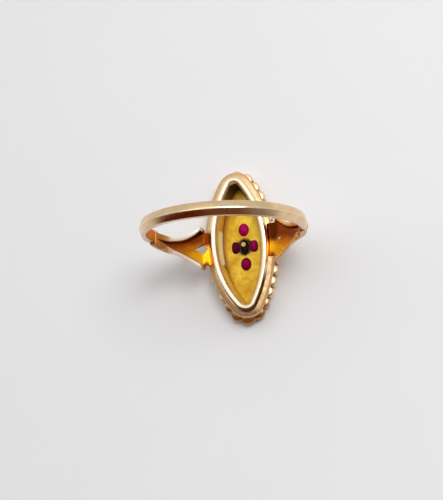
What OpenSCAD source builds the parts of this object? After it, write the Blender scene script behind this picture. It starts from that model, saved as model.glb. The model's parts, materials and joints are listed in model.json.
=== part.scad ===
// A navette ring lying on its face: the finger hole runs along Y and the head is below it.
// The origin is on the surface that the ring rests on, under the middle of the head.

/* [Finger] */
// Radius of the finger hole
finger_r = 8.5; // [7.5:0.1:10]

/* [Shank] */
// Width of the shank along the finger
shank_w = 1.6; // [1.2:0.1:2.2]
// Thickness of the shank at its two side edges
shank_edge_t = 0.68; // [0.5:0.02:1]
// How far the crest stands above the side edges
shank_crest = 0.26; // [0.1:0.02:0.4]
// Width of the worn top of that crest, as a share of the shank's width
crest_share = 0.16; // [0.05:0.01:0.3]
// Bevel along the inner edges of the shank
shank_bevel = 0.18; // [0.05:0.01:0.25]
// Angle from the head to the solder seam between shank and shoulder
seam_angle = 79; // [72:1:84]

/* [Shoulders] */
// Thickness of a shoulder where it meets the shank
shoulder_t = 0.95; // [0.8:0.05:1.2]
// How much deeper a shoulder is at the head than at the shank
shoulder_deepening = 1.5; // [1.2:0.1:1.7]
// Half width of the narrow part of a shoulder
waist_half_w = 0.88; // [0.7:0.02:1]
// Half width across the two tips of the left fishtail
flare_left = 2.55; // [2.3:0.05:2.9]
// Half width across the two tips of the right fishtail
flare_right = 2.8; // [2.3:0.05:2.9]
// Distance from the middle of the ring to the fishtail's tips
tip_x = 4.45; // [4.35:0.05:4.8]
// How far the lips of a shoulder lie outside the finger hole
lip_ease = 0.02; // [0.01:0.01:0.05]
// Thickness of the floor and of the lips round the hollow
shoulder_wall = 0.42; // [0.3:0.02:0.5]
// Distance from the seam to the point where the hollow starts
hollow_start = 0.65; // [0.5:0.05:0.8]
// Length over which the hollow widens from that point
hollow_point = 0.8; // [0.6:0.05:1]
// Half height of the gap between the two legs at the head
gap_half_h = 0.6; // [0.3:0.02:0.8]
// Length of that gap, out from the head's mould
gap_len = 0.9; // [0.6:0.05:1.3]
// Half width over the two legs where they meet the head
legs_half_w = 2; // [1.5:0.05:2.1]
// How far the left shoulder lies off the middle of the shank, towards the head's lower end
drift_left = 0.4; // [0:0.05:0.45]
// How far the right shoulder lies off it, towards the head's upper end
drift_right = 0.2; // [0:0.05:0.45]

/* [Head] */
// Half width of the head at its rim
rim_half_w = 3.55; // [3.3:0.05:4]
// Half length of the head at its rim
rim_half_l = 8.35; // [7.6:0.01:9]
// Radius of the rim's outline at the two ends
rim_tip_r = 1.55; // [1.35:0.05:1.7]
// Height of the head from the surface to the rim
head_h = 3.6; // [3.4:0.05:4]
// How far the rim lies outside the finger hole
rim_drop = 0.1; // [0.05:0.05:0.3]
// Width of the rolled rim
rim_w = 0.95; // [0.7:0.01:1]
// Depth of the groove between rim and mould
groove_d = 0.14; // [0.05:0.01:0.3]
// How far the round mould stands out from the rim
mould_out = 0.7; // [0.6:0.02:0.9]
// Distance of the mould's middle below the rim
mould_drop = 1.2; // [1.15:0.05:1.3]
// Half height of the mould
mould_half_h = 0.46; // [0.35:0.01:0.5]
// How far the opening narrows from the rim to the plate
wall_taper = 0.22; // [0.1:0.01:0.3]
// How far the head lies off the middle of the shank, to the left
head_off = 0.15; // [0:0.01:0.2]
// Angle by which the head is turned from the line of the finger
head_turn = 1.8; // [0:0.1:2.5]

/* [Border] */
// Number of beads round the head
bead_n = 30; // [26:2:34]
// Radius of a bead
bead_r = 0.86; // [0.8:0.02:1]
// How far the beads stand out from the rim
bead_out = 1; // [0.9:0.02:1.2]
// How much further the border reaches at its two ends
border_reach = 0.25; // [0:0.05:0.4]
// Height of the beads above the surface
border_h = 1.4; // [1.2:0.05:1.5]
// Height of the border band's face above the surface
border_lift = 0.12; // [0.05:0.01:0.2]

/* [Plate] */
// Thickness of the plate that holds the stones
plate_t = 0.35; // [0.25:0.01:0.45]
// Height of the plate's front above the surface
plate_z = 0.36; // [0.3:0.02:0.4]
// Width of the ledge that the plate is pressed up to
ledge_w = 0.75; // [0.6:0.01:0.8]
// Gap round the plate and between plate and ledge
plate_gap = 0.04; // [0.03:0.01:0.06]
// How far the border's rubbed edge reaches over the plate
rub_over = 0.16; // [0.1:0.01:0.2]

/* [Stones] */
// Half width of the openings behind the upper and lower rubies
ruby_half_w = 0.66; // [0.5:0.01:0.7]
// Half height of those openings
ruby_half_h = 0.82; // [0.6:0.01:0.85]
// Distance of the upper and lower rubies from the middle
ruby_y = 2.14; // [2.1:0.01:2.6]
// Half width of the openings behind the side rubies
side_ruby_half_w = 0.5; // [0.42:0.01:0.5]
// Half height of those openings
side_ruby_half_h = 0.75; // [0.6:0.01:0.85]
// Distance of the side rubies from the middle
ruby_x = 1.15; // [1.15:0.01:1.3]
// Half width of the opening behind the centre stone
centre_half_w = 0.52; // [0.4:0.01:0.52]
// Half height of the opening behind the centre stone
centre_half_h = 1.06; // [0.8:0.01:1.1]
// How far the middle of the stones lies off the middle of the plate, to the right
stones_off = 0.2; // [0:0.01:0.25]
// How much wider the seats at the front are than the openings
seat_w = 0.05; // [0.03:0.01:0.06]
// Depth of those seats
seat_t = 0.16; // [0.1:0.01:0.2]
// Gap round each stone
stone_gap = 0.02; // [0.01:0.005:0.03]
// Height of a stone's table above the surface
table_z = 0.08; // [0.05:0.01:0.15]
// How far a stone's back stands out behind the plate
stone_back = 0.28; // [0.2:0.02:0.5]
// Radius of a ruby's culet
ruby_culet_r = 0.16; // [0.1:0.01:0.25]
// Radius of the centre stone's open culet
culet_r = 0.3; // [0.1:0.01:0.32]
// How far that culet lies off the stone's middle, to the left
culet_left = 0.1; // [0:0.01:0.15]
// How far it lies off the middle along the head
culet_up = 0.3; // [0:0.01:0.35]

/* [Hidden] */
$fn = 96;
gold = [0.80, 0.61, 0.42];
yellow_gold = [0.83, 0.66, 0.22];
ruby_red = [0.60, 0.02, 0.28];
diamond_grey = [0.20, 0.17, 0.15];
lap = 0.05;

// Heights
rim_z = head_h;
finger_z = head_h + rim_drop + finger_r;
plate_back = plate_z + plate_t;
ledge_z = plate_back + plate_gap;
mould_z = rim_z - mould_drop;

// The rim's outline is four arcs: two long ones for the sides and two short ones for the ends.
end_y = rim_half_l - rim_tip_r;
side_c = (pow(end_y, 2) - pow(rim_half_w - rim_tip_r, 2)) / (2 * (rim_half_w - rim_tip_r));
side_r = side_c + rim_half_w;
turn = atan2(end_y, side_c);

// Offsets from the rim's outline, positive outwards
roll_r = rim_w / 2;
sill_o = -rim_w - wall_taper;
rebate_o = sill_o + ledge_w;
plate_o = rebate_o - plate_gap;
band_o = bead_out - bead_r;

// The shoulders' outer surface is a wider cylinder whose axis lies nearer the head.
back_drop = shoulder_deepening;
back_r = sqrt(pow((finger_r + shoulder_t) * sin(seam_angle), 2)
    + pow((finger_r + shoulder_t) * cos(seam_angle) - back_drop, 2));
seam_x = (finger_r + shoulder_t) * sin(seam_angle);
shoulder_top = -finger_r * cos(seam_angle) + shoulder_wall;
flare_start = 0.4;
flare_power = 1.85;
low_flare_power = 1.4;
flare_steps = 12;
mould_x = rim_half_w + mould_out;
mould_end = 60;
roll_start = -15;
end_proud = 0.015;
end_lap = 3;
wide = 3 * (flare_left + flare_right);

// Steps of a bead: share of the border's height from and to, share of the bead's radius
bead_steps = [[0, 0.14, 0.84], [0.14, 0.76, 1], [0.76, 0.92, 0.86], [0.92, 1, 0.66]];

// Levels of a cut stone's front: share of the height from the table to the girdle, share of the girdle's size
crown_levels = [[0, 0.55], [0.5, 0.84], [1, 1]];

// Levels of its back: share of the height from the neck to the culet, share of the neck's size
pavilion_levels = [[0, 1], [0.45, 0.9], [0.8, 0.64]];
stone_sides = 16;

// A quarter of the offset outline is a stretch round the end and a stretch along the side.
function end_len(o) = (rim_tip_r + o) * (90 - turn) * PI / 180;
function side_len(o) = (side_r + o) * turn * PI / 180;
function end_point(o, a) = [(rim_tip_r + o) * cos(a), end_y + (rim_tip_r + o) * sin(a)];
function side_point(o, a) = [(side_r + o) * cos(a) - side_c, (side_r + o) * sin(a)];
function quarter_point(o, s) = s < end_len(o)
    ? end_point(o, 90 - s / (rim_tip_r + o) * 180 / PI)
    : side_point(o, turn - (s - end_len(o)) / (side_r + o) * 180 / PI);

// The point at a share of the way round the outline, from the upper end clockwise
function outline_point(o, share) =
    let (quarter = end_len(o) + side_len(o))
    let (s = share * 4 * quarter)
    let (k = floor(s / quarter))
    let (p = quarter_point(o, k % 2 == 0 ? s - k * quarter : (k + 1) * quarter - s))
    [k < 2 ? p[0] : -p[0], k == 0 || k == 3 ? p[1] : -p[1]];

// The head sits a little askew on the shank.
module on_the_head() {
    translate([-head_off, 0, 0])
        rotate(head_turn)
            children();
}

// Sweep a profile along an arc of an angle either way from the middle: x is the offset from the arc.
module swept(arc_r, half_angle) {
    rotate(-half_angle)
        rotate_extrude(angle = 2 * half_angle)
            translate([arc_r, 0])
                children();
}

// The filled outline at an offset
module navette(o) {
    intersection() {
        translate([-side_c, 0])
            circle(side_r + o);
        translate([side_c, 0])
            circle(side_r + o);
        square([2 * side_r, 2 * (side_r + o) * sin(turn)], center = true);
    }
    for (end = [-1, 1])
        translate([0, end * end_y])
            circle(rim_tip_r + o);
}

module shank() {
    outer = finger_r + shank_edge_t;
    top_half_w = crest_share / 2 * shank_w;
    shoulder_r = outer + 0.9 * shank_crest;
    translate([0, 0, finger_z])
        rotate([90, 0, 0])
            rotate(seam_angle - 90)
                rotate_extrude(angle = 360 - 2 * seam_angle)
                    polygon([
                        [finger_r, -shank_w / 2 + shank_bevel],
                        [finger_r + shank_bevel, -shank_w / 2],
                        [outer, -shank_w / 2],
                        [shoulder_r, -top_half_w],
                        [outer + shank_crest, 0],
                        [shoulder_r, top_half_w],
                        [outer, shank_w / 2],
                        [finger_r + shank_bevel, shank_w / 2],
                        [finger_r, shank_w / 2 - shank_bevel]
                    ]);
}

// A shoulder seen from the finger hole: t runs from 0 at the seam to 1 at the tips, and its lower side
// widens sooner than its upper side.
function flare(t, power) = t <= flare_start ? 0 : pow((t - flare_start) / (1 - flare_start), power);
function shoulder_x(t) = seam_x + (tip_x - seam_x) * t;
function settled(t) = min(1, t / flare_start);
function shoulder_half(t, side, flare_w) = shank_w / 2 + (waist_half_w - shank_w / 2) * settled(t)
    + (flare_w - waist_half_w) * flare(t, side > 0 ? flare_power : low_flare_power);
function shoulder_edge(side, inset, flare_w, drift, from = 0) = [
    for (i = [0:flare_steps])
        let (t = from + (1 - from) * i / flare_steps)
        [shoulder_x(t), side * (shoulder_half(t, side, flare_w) - inset) + drift * settled(t)]
];
function reversed(list) = [for (i = [len(list) - 1:-1:0]) list[i]];

// A shoulder's own plan: head_x is how far out the head's mould reaches on its side.
module shoulder_plan(flare_w, drift, head_x) {
    notch_x = (tip_x + head_x) / 2;
    head_end = head_x - mould_out - shoulder_wall / 2;
    polygon(concat(
        shoulder_edge(1, 0, flare_w, drift),
        [[tip_x, legs_half_w + shoulder_wall + drift], [notch_x, legs_half_w + drift]],
        [[head_end, legs_half_w + drift], [head_end, -legs_half_w + drift]],
        [[notch_x, -legs_half_w + drift], [tip_x, -legs_half_w - shoulder_wall + drift]],
        reversed(shoulder_edge(-1, 0, flare_w, drift))
    ));
}

// The hollow starts in a point, leaves a lip on both sides and is open towards the head.
module hollow_plan(flare_w, drift, head_x) {
    start_x = finger_r * sin(seam_angle) - hollow_start;
    start = (seam_x - start_x) / (seam_x - tip_x);
    full = (seam_x - start_x + hollow_point) / (seam_x - tip_x);
    open_half = flare_w - shoulder_wall;
    inner_end = head_x - 2 * mould_out;
    polygon(concat(
        [[start_x, drift * settled(start)]],
        shoulder_edge(1, shoulder_wall, flare_w, drift, full),
        [[inner_end, open_half + drift], [inner_end, -open_half + drift]],
        reversed(shoulder_edge(-1, shoulder_wall, flare_w, drift, full))
    ));
}

// The gap between the two legs is a triangle whose point lies away from the head.
module gap_plan(drift, head_x) {
    translate([head_x, drift])
        polygon([[-shoulder_wall, -gap_half_h], [0, -gap_half_h], [gap_len, 0], [0, gap_half_h],
            [-shoulder_wall, gap_half_h]]);
}

// A solid round an axis along the finger, from a profile of radius and width
module along_finger(z) {
    translate([0, 0, z])
        rotate([90, 0, 0])
            rotate_extrude()
                children();
}

// The shank's crest runs on down the back of each shoulder.
module shoulder_back() {
    edge_r = back_r - shank_crest;
    polygon([[0, -wide / 2], [edge_r, -wide / 2], [edge_r, -shank_w / 2], [back_r, 0],
        [edge_r, shank_w / 2], [edge_r, wide / 2], [0, wide / 2]]);
}

module shoulder(flare_w, drift, head_x) {
    low = finger_z - back_r - back_drop - shoulder_wall;
    difference() {
        intersection() {
            along_finger(finger_z - back_drop)
                shoulder_back();
            translate([0, 0, low])
                linear_extrude(finger_z + shoulder_top - low)
                    shoulder_plan(flare_w, drift, head_x);
        }
        along_finger(finger_z)
            translate([0, -wide / 2])
                square([finger_r + lip_ease, wide]);
        intersection() {
            along_finger(finger_z - back_drop)
                translate([0, -wide / 2])
                    square([back_r - shank_crest - shoulder_wall, wide]);
            translate([0, 0, low])
                linear_extrude(finger_z - low)
                    hollow_plan(flare_w, drift, head_x);
        }
        translate([0, 0, low])
            linear_extrude(finger_z - low)
                gap_plan(drift, head_x);
    }
}

// The wall's section: x is the offset from the rim's outline, and all its faces stand proud by a little.
module wall_section(proud) {
    mould_c = [mould_out - mould_half_h, mould_z];
    roll_c = [-roll_r, rim_z - roll_r];
    groove_z = (mould_c[1] + mould_half_h * sin(mould_end) + roll_c[1] + roll_r * sin(roll_start)) / 2;
    band_x = band_o - lap + proud;
    rebate_x = rebate_o - proud;
    rub_z = plate_z - plate_gap + proud;
    polygon(concat(
        [[band_x, border_lift - proud], [band_x, border_h + lap]],
        [for (a = [-mould_end:15:mould_end]) mould_c + (mould_half_h + proud) * [cos(a), sin(a)]],
        [[proud - groove_d, groove_z]],
        [for (a = [roll_start:15:180 - 2 * roll_start]) roll_c + (roll_r + proud) * [cos(a), sin(a)]],
        [[sill_o - proud, ledge_z - proud], [rebate_x, ledge_z - proud], [rebate_x, rub_z]],
        [[rebate_x - rub_over, rub_z], [rebate_x - rub_over / 2, border_lift - proud]]
    ));
}

// The wall from the rubbed edge at the front up to the rolled rim: the sides run into the ends.
module head_wall() {
    for (side = [0, 180])
        rotate(side)
            translate([-side_c, 0, 0])
                swept(side_r, turn)
                    wall_section(0);
    for (end = [90, 270])
        rotate(end)
            translate([end_y, 0, 0])
                swept(rim_tip_r, 90 - turn + end_lap)
                    wall_section(end_proud);
}

// The border is a band of beads, each rounded off in steps towards its face and its back.
module border() {
    for (step = bead_steps)
        translate([0, 0, step[0] * border_h])
            linear_extrude((step[1] - step[0]) * border_h)
                difference() {
                    union() {
                        navette(band_o);
                        for (i = [0:bead_n - 1])
                            let (p = outline_point(band_o, i / bead_n))
                            translate([p[0], p[1] * (1 + border_reach / rim_half_l)])
                                circle(bead_r * step[2]);
                    }
                    navette(rebate_o + rub_over / 2);
                }
}

module ring_mount() {
    color(gold) {
        shank();
        shoulder(flare_right, drift_right, mould_x - head_off);
        mirror([1, 0, 0])
            shoulder(flare_left, -drift_left, mould_x + head_off);
        on_the_head() {
            head_wall();
            border();
        }
    }
}

// The outline of a stone: bend 1 is an oval, more makes it a lozenge and less a cushion.
function corner(v, bend) = sign(v) * pow(abs(v), bend);
function stone_ring(half, bend, phase) = [
    for (i = [0:stone_sides - 1])
        let (a = (i + phase) * 360 / stone_sides)
        [half[0] * corner(cos(a), bend), half[1] * corner(sin(a), bend)]
];

// Rings of points from the table to the culet, each turned by half a step from the last. The girdle lies
// in the seat and the neck in the opening behind it, and the culet's drift is shared out over the back.
module cut_stone(half, bend, culet, drift) {
    girdle = half + margin * (seat_w - stone_gap);
    neck = half - margin * stone_gap;
    girdle_z = plate_z + seat_t / 2;
    neck_z = plate_z + seat_t - stone_gap;
    culet_z = plate_back + stone_back;
    levels = concat(
        [for (l = crown_levels) [table_z + (girdle_z - table_z) * l[0], girdle * l[1], 0]],
        [for (l = pavilion_levels) [neck_z + (culet_z - neck_z) * l[0], neck * l[1], 1 - l[1]]]
    );
    count = len(levels) + 1;
    n = stone_sides;
    last = (count - 1) * n;
    points = concat(
        [
            for (k = [0:count - 2])
                for (p = stone_ring(levels[k][1], bend, k % 2 / 2))
                    concat(p + drift * levels[k][2], [levels[k][0]])
        ],
        [for (p = stone_ring([culet, culet], 1, (count - 1) % 2 / 2)) concat(p + drift, [culet_z])]
    );
    bands = [
        for (k = [0:count - 2])
            for (i = [0:n - 1])
                let (j = (i + 1) % n, up = k * n, over = up + n)
                each k % 2 == 0
                    ? [[up + i, up + j, over + i], [up + j, over + j, over + i]]
                    : [[up + i, up + j, over + j], [up + i, over + j, over + i]]
    ];
    polyhedron(
        points = points,
        faces = concat([[for (i = [n - 1:-1:0]) i]], bands, [[for (i = [0:n - 1]) last + i]])
    );
}

ruby_half = [ruby_half_w, ruby_half_h];
side_ruby_half = [side_ruby_half_w, side_ruby_half_h];
centre_half = [centre_half_w, centre_half_h];
oval = 1;
cushion = 0.8;
lozenge = 1.35;
margin = [1, 1];

// Where the stones sit, from the middle of the plate
module at_the_stones() {
    on_the_head()
        translate([stones_off, 0, 0])
            children();
}

module opening(half, bend) {
    translate([0, 0, plate_z - plate_t])
        linear_extrude(3 * plate_t)
            polygon(stone_ring(half, bend, 0));
    translate([0, 0, plate_z - plate_t])
        linear_extrude(plate_t + seat_t)
            polygon(stone_ring(half + margin * seat_w, bend, 0));
}

module stone_plate() {
    color(yellow_gold)
        difference() {
            on_the_head()
                translate([0, 0, plate_z])
                    linear_extrude(plate_t)
                        navette(plate_o);
            at_the_stones() {
                for (side = [-1, 1]) {
                    translate([0, side * ruby_y, 0])
                        opening(ruby_half, oval);
                    translate([side * ruby_x, 0, 0])
                        opening(side_ruby_half, cushion);
                }
                opening(centre_half, lozenge);
            }
        }
}

module ruby(place, half, bend) {
    color(ruby_red)
        at_the_stones()
            translate(place)
                cut_stone(half, bend, ruby_culet_r, [0, 0]);
}

module centre_diamond() {
    color(diamond_grey)
        at_the_stones()
            cut_stone(centre_half, lozenge, culet_r, [-culet_left, culet_up]);
}

ring_mount();
stone_plate();
ruby([0, ruby_y, 0], ruby_half, oval);  // ruby_top
ruby([0, -ruby_y, 0], ruby_half, oval);  // ruby_bottom
ruby([-ruby_x, 0, 0], side_ruby_half, cushion);  // ruby_left
ruby([ruby_x, 0, 0], side_ruby_half, cushion);  // ruby_right
centre_diamond();
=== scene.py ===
import json
import math

import bmesh
import bpy
import numpy as np
from bpy.props import FloatProperty, FloatVectorProperty, IntProperty, PointerProperty
from bpy.types import Operator, Panel, PropertyGroup
from mathutils import Euler, Matrix, Vector


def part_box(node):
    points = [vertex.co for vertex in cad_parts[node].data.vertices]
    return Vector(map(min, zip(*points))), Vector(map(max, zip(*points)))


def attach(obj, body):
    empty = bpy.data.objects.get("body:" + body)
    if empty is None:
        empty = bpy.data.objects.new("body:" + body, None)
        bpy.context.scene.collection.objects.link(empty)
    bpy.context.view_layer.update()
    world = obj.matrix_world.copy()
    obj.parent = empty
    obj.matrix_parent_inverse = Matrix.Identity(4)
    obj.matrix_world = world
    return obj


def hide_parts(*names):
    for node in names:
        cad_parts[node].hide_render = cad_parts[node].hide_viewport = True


bl_info = {
    "name": "Navette Ring",
    "version": (1, 0, 0),
    "blender": (4, 5, 0),
    "location": "3D View > Sidebar > Ring",
    "description": "Builds a gold navette ring with a beaded border and five stones, and its studio stage",
    "category": "Add Mesh",
}

MM = 0.001
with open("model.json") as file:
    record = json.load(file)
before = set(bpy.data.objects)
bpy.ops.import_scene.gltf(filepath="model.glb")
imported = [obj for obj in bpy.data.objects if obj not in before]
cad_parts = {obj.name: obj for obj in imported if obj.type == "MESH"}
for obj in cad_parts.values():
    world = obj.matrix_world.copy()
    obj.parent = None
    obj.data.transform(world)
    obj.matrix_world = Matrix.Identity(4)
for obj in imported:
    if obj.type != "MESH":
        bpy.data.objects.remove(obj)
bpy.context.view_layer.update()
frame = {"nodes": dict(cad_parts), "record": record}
record = frame["record"]
finger_bore = next(m for m in record["mounts"] if m["kind"] == "bore")
FINGER_R = finger_bore["dims"]["r_mm"] * MM
FINGER_Z = finger_bore["pos_m"][2]
PLATE_LOW, PLATE_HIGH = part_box("stone_plate")


def length(name, description, default_mm):
    """A size in millimetres, kept in metres."""
    return FloatProperty(
        name=name, description=description, default=default_mm * MM, precision=6, unit="LENGTH"
    )


def angle(name, description, default_deg):
    return FloatProperty(
        name=name, description=description, default=math.radians(default_deg), unit="ROTATION"
    )


def share(name, description, default):
    return FloatProperty(name=name, description=description, default=default)


def colour(name, of, default):
    return FloatVectorProperty(
        name=name, description=f"Colour of {of}", default=default, min=0, max=2, subtype="COLOR"
    )


def vector(name, description, default, subtype="TRANSLATION"):
    return FloatVectorProperty(
        name=name, description=description, default=default, precision=6, subtype=subtype
    )


class ShankSizes(PropertyGroup):
    width: length("Width", "Width of the shank along the finger", 1.6)
    edge_t: length("Edge thickness", "Thickness of the shank at its two side edges", 0.68)
    crest: length("Crest", "How far the crest stands above the side edges", 0.26)
    crest_share: share("Crest share", "Width of the crest's worn top, as a share of the shank's", 0.085)
    inner_bevel: length("Inner bevel", "Bevel along the shank's inner edges", 0.18)
    softening: length("Softening", "Radius to which its edges are worn", 0.09)
    seam: angle("Seam", "Angle from the head to the solder seams", 79)
    seam_lap: angle("Seam lap", "How far the shank runs on into each shoulder", 3)
    seam_half: length("Solder half width", "Half width of the line of solder at a seam", 0.13)
    seam_proud: length("Solder height", "How far that line stands up inside the shank", 0.035)


class ShoulderSizes(PropertyGroup):
    end_t: length("End thickness", "Thickness of a shoulder at the shank", 0.95)
    deepening: length("Deepening", "How much deeper a shoulder is at the head", 1.5)
    waist: length("Waist", "Half width of a shoulder's narrow part", 0.88)
    flare_left: length("Left flare", "Half width across the left fishtail's tips", 2.55)
    flare_right: length("Right flare", "Half width across the right fishtail's tips", 2.8)
    flare_start: share("Flare start", "Share of a shoulder's length at which it starts to widen", 0.4)
    flare_power: share("Flare power", "How late the fishtail's upper side widens", 1.85)
    low_power: share("Low flare power", "How late its lower side widens", 1.4)
    tip_x: length("Tips", "Distance from the ring's middle to the fishtail's tips", 4.45)
    lip_w: length("Lip width", "Width of the lips' worn tops", 0.52)
    lip_ease: length("Lip ease", "How far the lips lie outside the finger hole", 0.02)
    lean_left: length("Left lean", "How far the left shoulder's lower lip leans out", 0.28)
    lean_right: length("Right lean", "How far the right shoulder's lower lip leans out", 0.6)
    wall: length("Wall", "Thickness of the floor and of the lips", 0.42)
    hollow_point: length("Hollow's point", "Length over which the hollow widens from its point", 1.3)
    gap_left: length("Left gap", "Half height of the gap between the left legs", 0.62)
    gap_right: length("Right gap", "Half height of the gap between the right legs", 0.62)
    shut_left: length("Left gap's start", "From where it is open, out from the mould", -0.36)
    shut_right: length("Right gap's start", "From where it is open, out from the mould", 0.42)
    gap_len: length("Gap length", "Reach of that gap, out from the mould", 0.95)
    rise_left: length("Left rise", "How far the left legs rise over the mould", 0.03)
    rise_right: length("Right rise", "How far the right legs rise over the mould", 0.15)
    legs_half: length("Legs", "Half width over the two legs at the head", 2.0)
    drift_left: length("Left drift", "How far the left shoulder lies off the shank's middle", -0.4)
    drift_right: length("Right drift", "How far the right shoulder lies off it", 0.2)


class HeadSizes(PropertyGroup):
    rim_half_w: length("Rim half width", "Half width of the head at its rim", 3.6)
    rim_half_l: length("Rim half length", "Half length of the head at its rim", 8.35)
    tip_r: length("End radius", "Radius of the rim's outline at its ends", 1.55)
    height: length("Height", "Height of the head up to its rim", 3.6)
    rim_w: length("Rim width", "Width of the rolled rim", 0.95)
    groove: length("Groove", "Depth of the groove between rim and mould", 0.14)
    mould_out: length("Mould", "How far the round mould stands out from the rim", 0.65)
    mould_drop: length("Mould drop", "Distance of the mould's middle below the rim", 1.2)
    mould_half_h: length("Mould half height", "Half height of the mould", 0.46)
    taper: length("Taper", "How far the opening narrows from rim to plate", 0.22)
    off: length("Offset", "How far the head lies off the shank's middle, to the left", 0.2)
    turn: angle("Turn", "Angle by which the head is turned from the finger's line", 2.6)
    sway: length("Sway", "How far the wall's lower end leans to the right", 0.33)
    ledge_w: length("Ledge", "Width of the ledge over the plate", 0.75)
    plate_gap: length("Plate gap", "Gap round the plate", 0.04)
    rub_over: length("Rubbed edge", "How far the front's rubbed edge reaches over the plate", 0.16)


class BorderSizes(PropertyGroup):
    beads: IntProperty(name="Beads", description="Number of beads round the head", default=30)
    bead_r: length("Bead radius", "Radius of a bead", 0.86)
    out: length("Reach", "How far the beads stand out from the rim", 1.0)
    end_reach: length("End reach", "How much further the border reaches at its ends", 0.21)
    height: length("Height", "Height of the beads above the surface", 1.4)
    lift: length("Lift", "Height of the band's face above the surface", 0.12)


class StonePlaces(PropertyGroup):
    ruby_y: length("Upper and lower rubies", "Their distance from the middle", 2.14)
    ruby_x: length("Side rubies", "Their distance from the middle", 1.15)
    off: length("Offset", "How far the stones lie off the plate's middle", 0.25)
    culet_r: length("Open culet", "Radius of the centre stone's culet", 0.3)
    culet_left: length("Culet left", "How far the culet lies off the stone's middle", 0.1)
    culet_up: length("Culet up", "How far it lies off it along the head", 0.3)
    ruby: colour("Ruby", "the brightest ruby", (0.60, 0.002, 0.17))
    ruby_shade: colour("Ruby shade", "the rubies where they are deep", (0.30, 0.0, 0.045))
    # The stone's near-black body is a painted dark reflection.
    diamond: colour("Centre stone", "the dark centre stone", (0.012, 0.004, 0.003))
    # The gold in the culet is a painted reflection.
    culet_reflection: colour("Gleam", "the gold that shows in its culet", (0.70, 0.46, 0.14))


class GoldFinish(PropertyGroup):
    rose: colour("Rose gold", "the shank", (0.87, 0.64, 0.39))
    # The crest's paler gold is partly wear and partly a painted highlight along the crest.
    crest: colour("Crest", "the shank's worn crest", (0.90, 0.74, 0.50))
    rim: colour("Rim", "the rim", (0.96, 0.79, 0.53))
    beads: colour("Beads", "the beads", (0.95, 0.70, 0.42))
    mould: colour("Mould", "the duller mould round the head", (0.73, 0.45, 0.21))
    # The groove's near-black colour is a painted dark reflection.
    groove: colour("Groove", "the dirt under the rim", (0.09, 0.04, 0.015))
    notch: colour("Notches", "the dirt between the beads", (0.42, 0.23, 0.09))
    # The brown of the beads at the lower end is painted shade.
    shaded_end_beads: colour("End beads", "the beads at the lower end", (0.46, 0.22, 0.07))
    # Duller patches of wear; on the shoulders' outer flanks this colour is painted shade.
    worn_and_shaded_rose: colour("Worn rose gold", "its duller patches", (0.74, 0.51, 0.28))
    # The lips are one gold painted for the light on each shoulder: pale and lit on the left, warm orange
    # on the right, with painted highlights at the left tips.
    lips: colour("Lips", "the left shoulder's lips", (1.0, 0.87, 0.69))
    warm: colour("Warm gold", "the right shoulder's lips", (0.95, 0.56, 0.15))
    tips: colour("Tips", "the left shoulder's bright tips", (1.0, 0.97, 0.90))
    # The seam gold, brown with paler patches, is a painted dark reflection near the seams.
    seam_worn: colour("Worn seam", "the seam gold's paler patches", (0.72, 0.36, 0.09))
    seam: colour("Seam gold", "the lips near the seams", (0.44, 0.17, 0.03))
    # The hollows' golden colour by the head is a painted reflection of light.
    bright_hollow: colour("Bright hollow", "the hollows by the head", (0.88, 0.43, 0.012))
    # The shank's deep orange inside is a painted reflection of the gold that faces it.
    inside: colour("Inside", "the shank's inside", (0.78, 0.25, 0.004))
    solder: colour("Solder", "the solder at the seams", (1.0, 0.68, 0.28))
    # The hollows' orange is a painted reflection, their deep brown painted shade.
    hollow: colour("Hollow", "the shoulders' hollows", (0.62, 0.20, 0.012))
    deep_hollow: colour("Deep hollow", "their darkest parts", (0.28, 0.05, 0.004))
    # Near-black painted shade on the legs' upper part by the rim.
    shade_by_the_rim: colour("By the rim", "the legs' upper part by the rim", (0.10, 0.018, 0.002))
    # Painted shade round a spot at the foot of the shoulders, where the legs meet the head.
    shade_spot: colour("Pit", "the dirt at the foot of the shoulders", (0.20, 0.045, 0.01))
    wall: colour("Wall", "the wall inside the head", (0.78, 0.50, 0.12))
    wall_shade: colour("Wall shade", "its darker patches", (0.60, 0.35, 0.07))
    # The greyer band just below the rim is painted shade under the rim.
    wall_top: colour("Wall top", "the wall just below the rim", (0.72, 0.58, 0.36))
    # The wall's dark foot is painted shade where it meets the plate.
    wall_foot_shade: colour("Wall foot", "the wall's foot", (0.2, 0.09, 0.015))
    # The pale strip on the left wall is a painted highlight.
    strip: colour("Strip", "the pale strip on the left wall", (1.0, 0.98, 0.66))
    end_shade: colour("End shade", "the wall in the upper end", (0.10, 0.045, 0.02))
    yellow: colour("Yellow gold", "the back plate", (0.83, 0.59, 0.06))
    # Its darker patches vary at random, and grow towards the left as painted shade.
    yellow_patches_and_shade: colour("Plate's dirt", "the plate's darker patches", (0.58, 0.31, 0.01))
    # The plate's dark band along its left edge is painted shade.
    plate_edge_shade: colour("Plate's edge", "the dirt along its left edge", (0.36, 0.16, 0.02))
    # This near-black colour is painted shade round the stones and at one spot on the inner wall.
    crevice_shade: colour("Crevice", "the dirt round the stones", (0.05, 0.018, 0.006))


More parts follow.
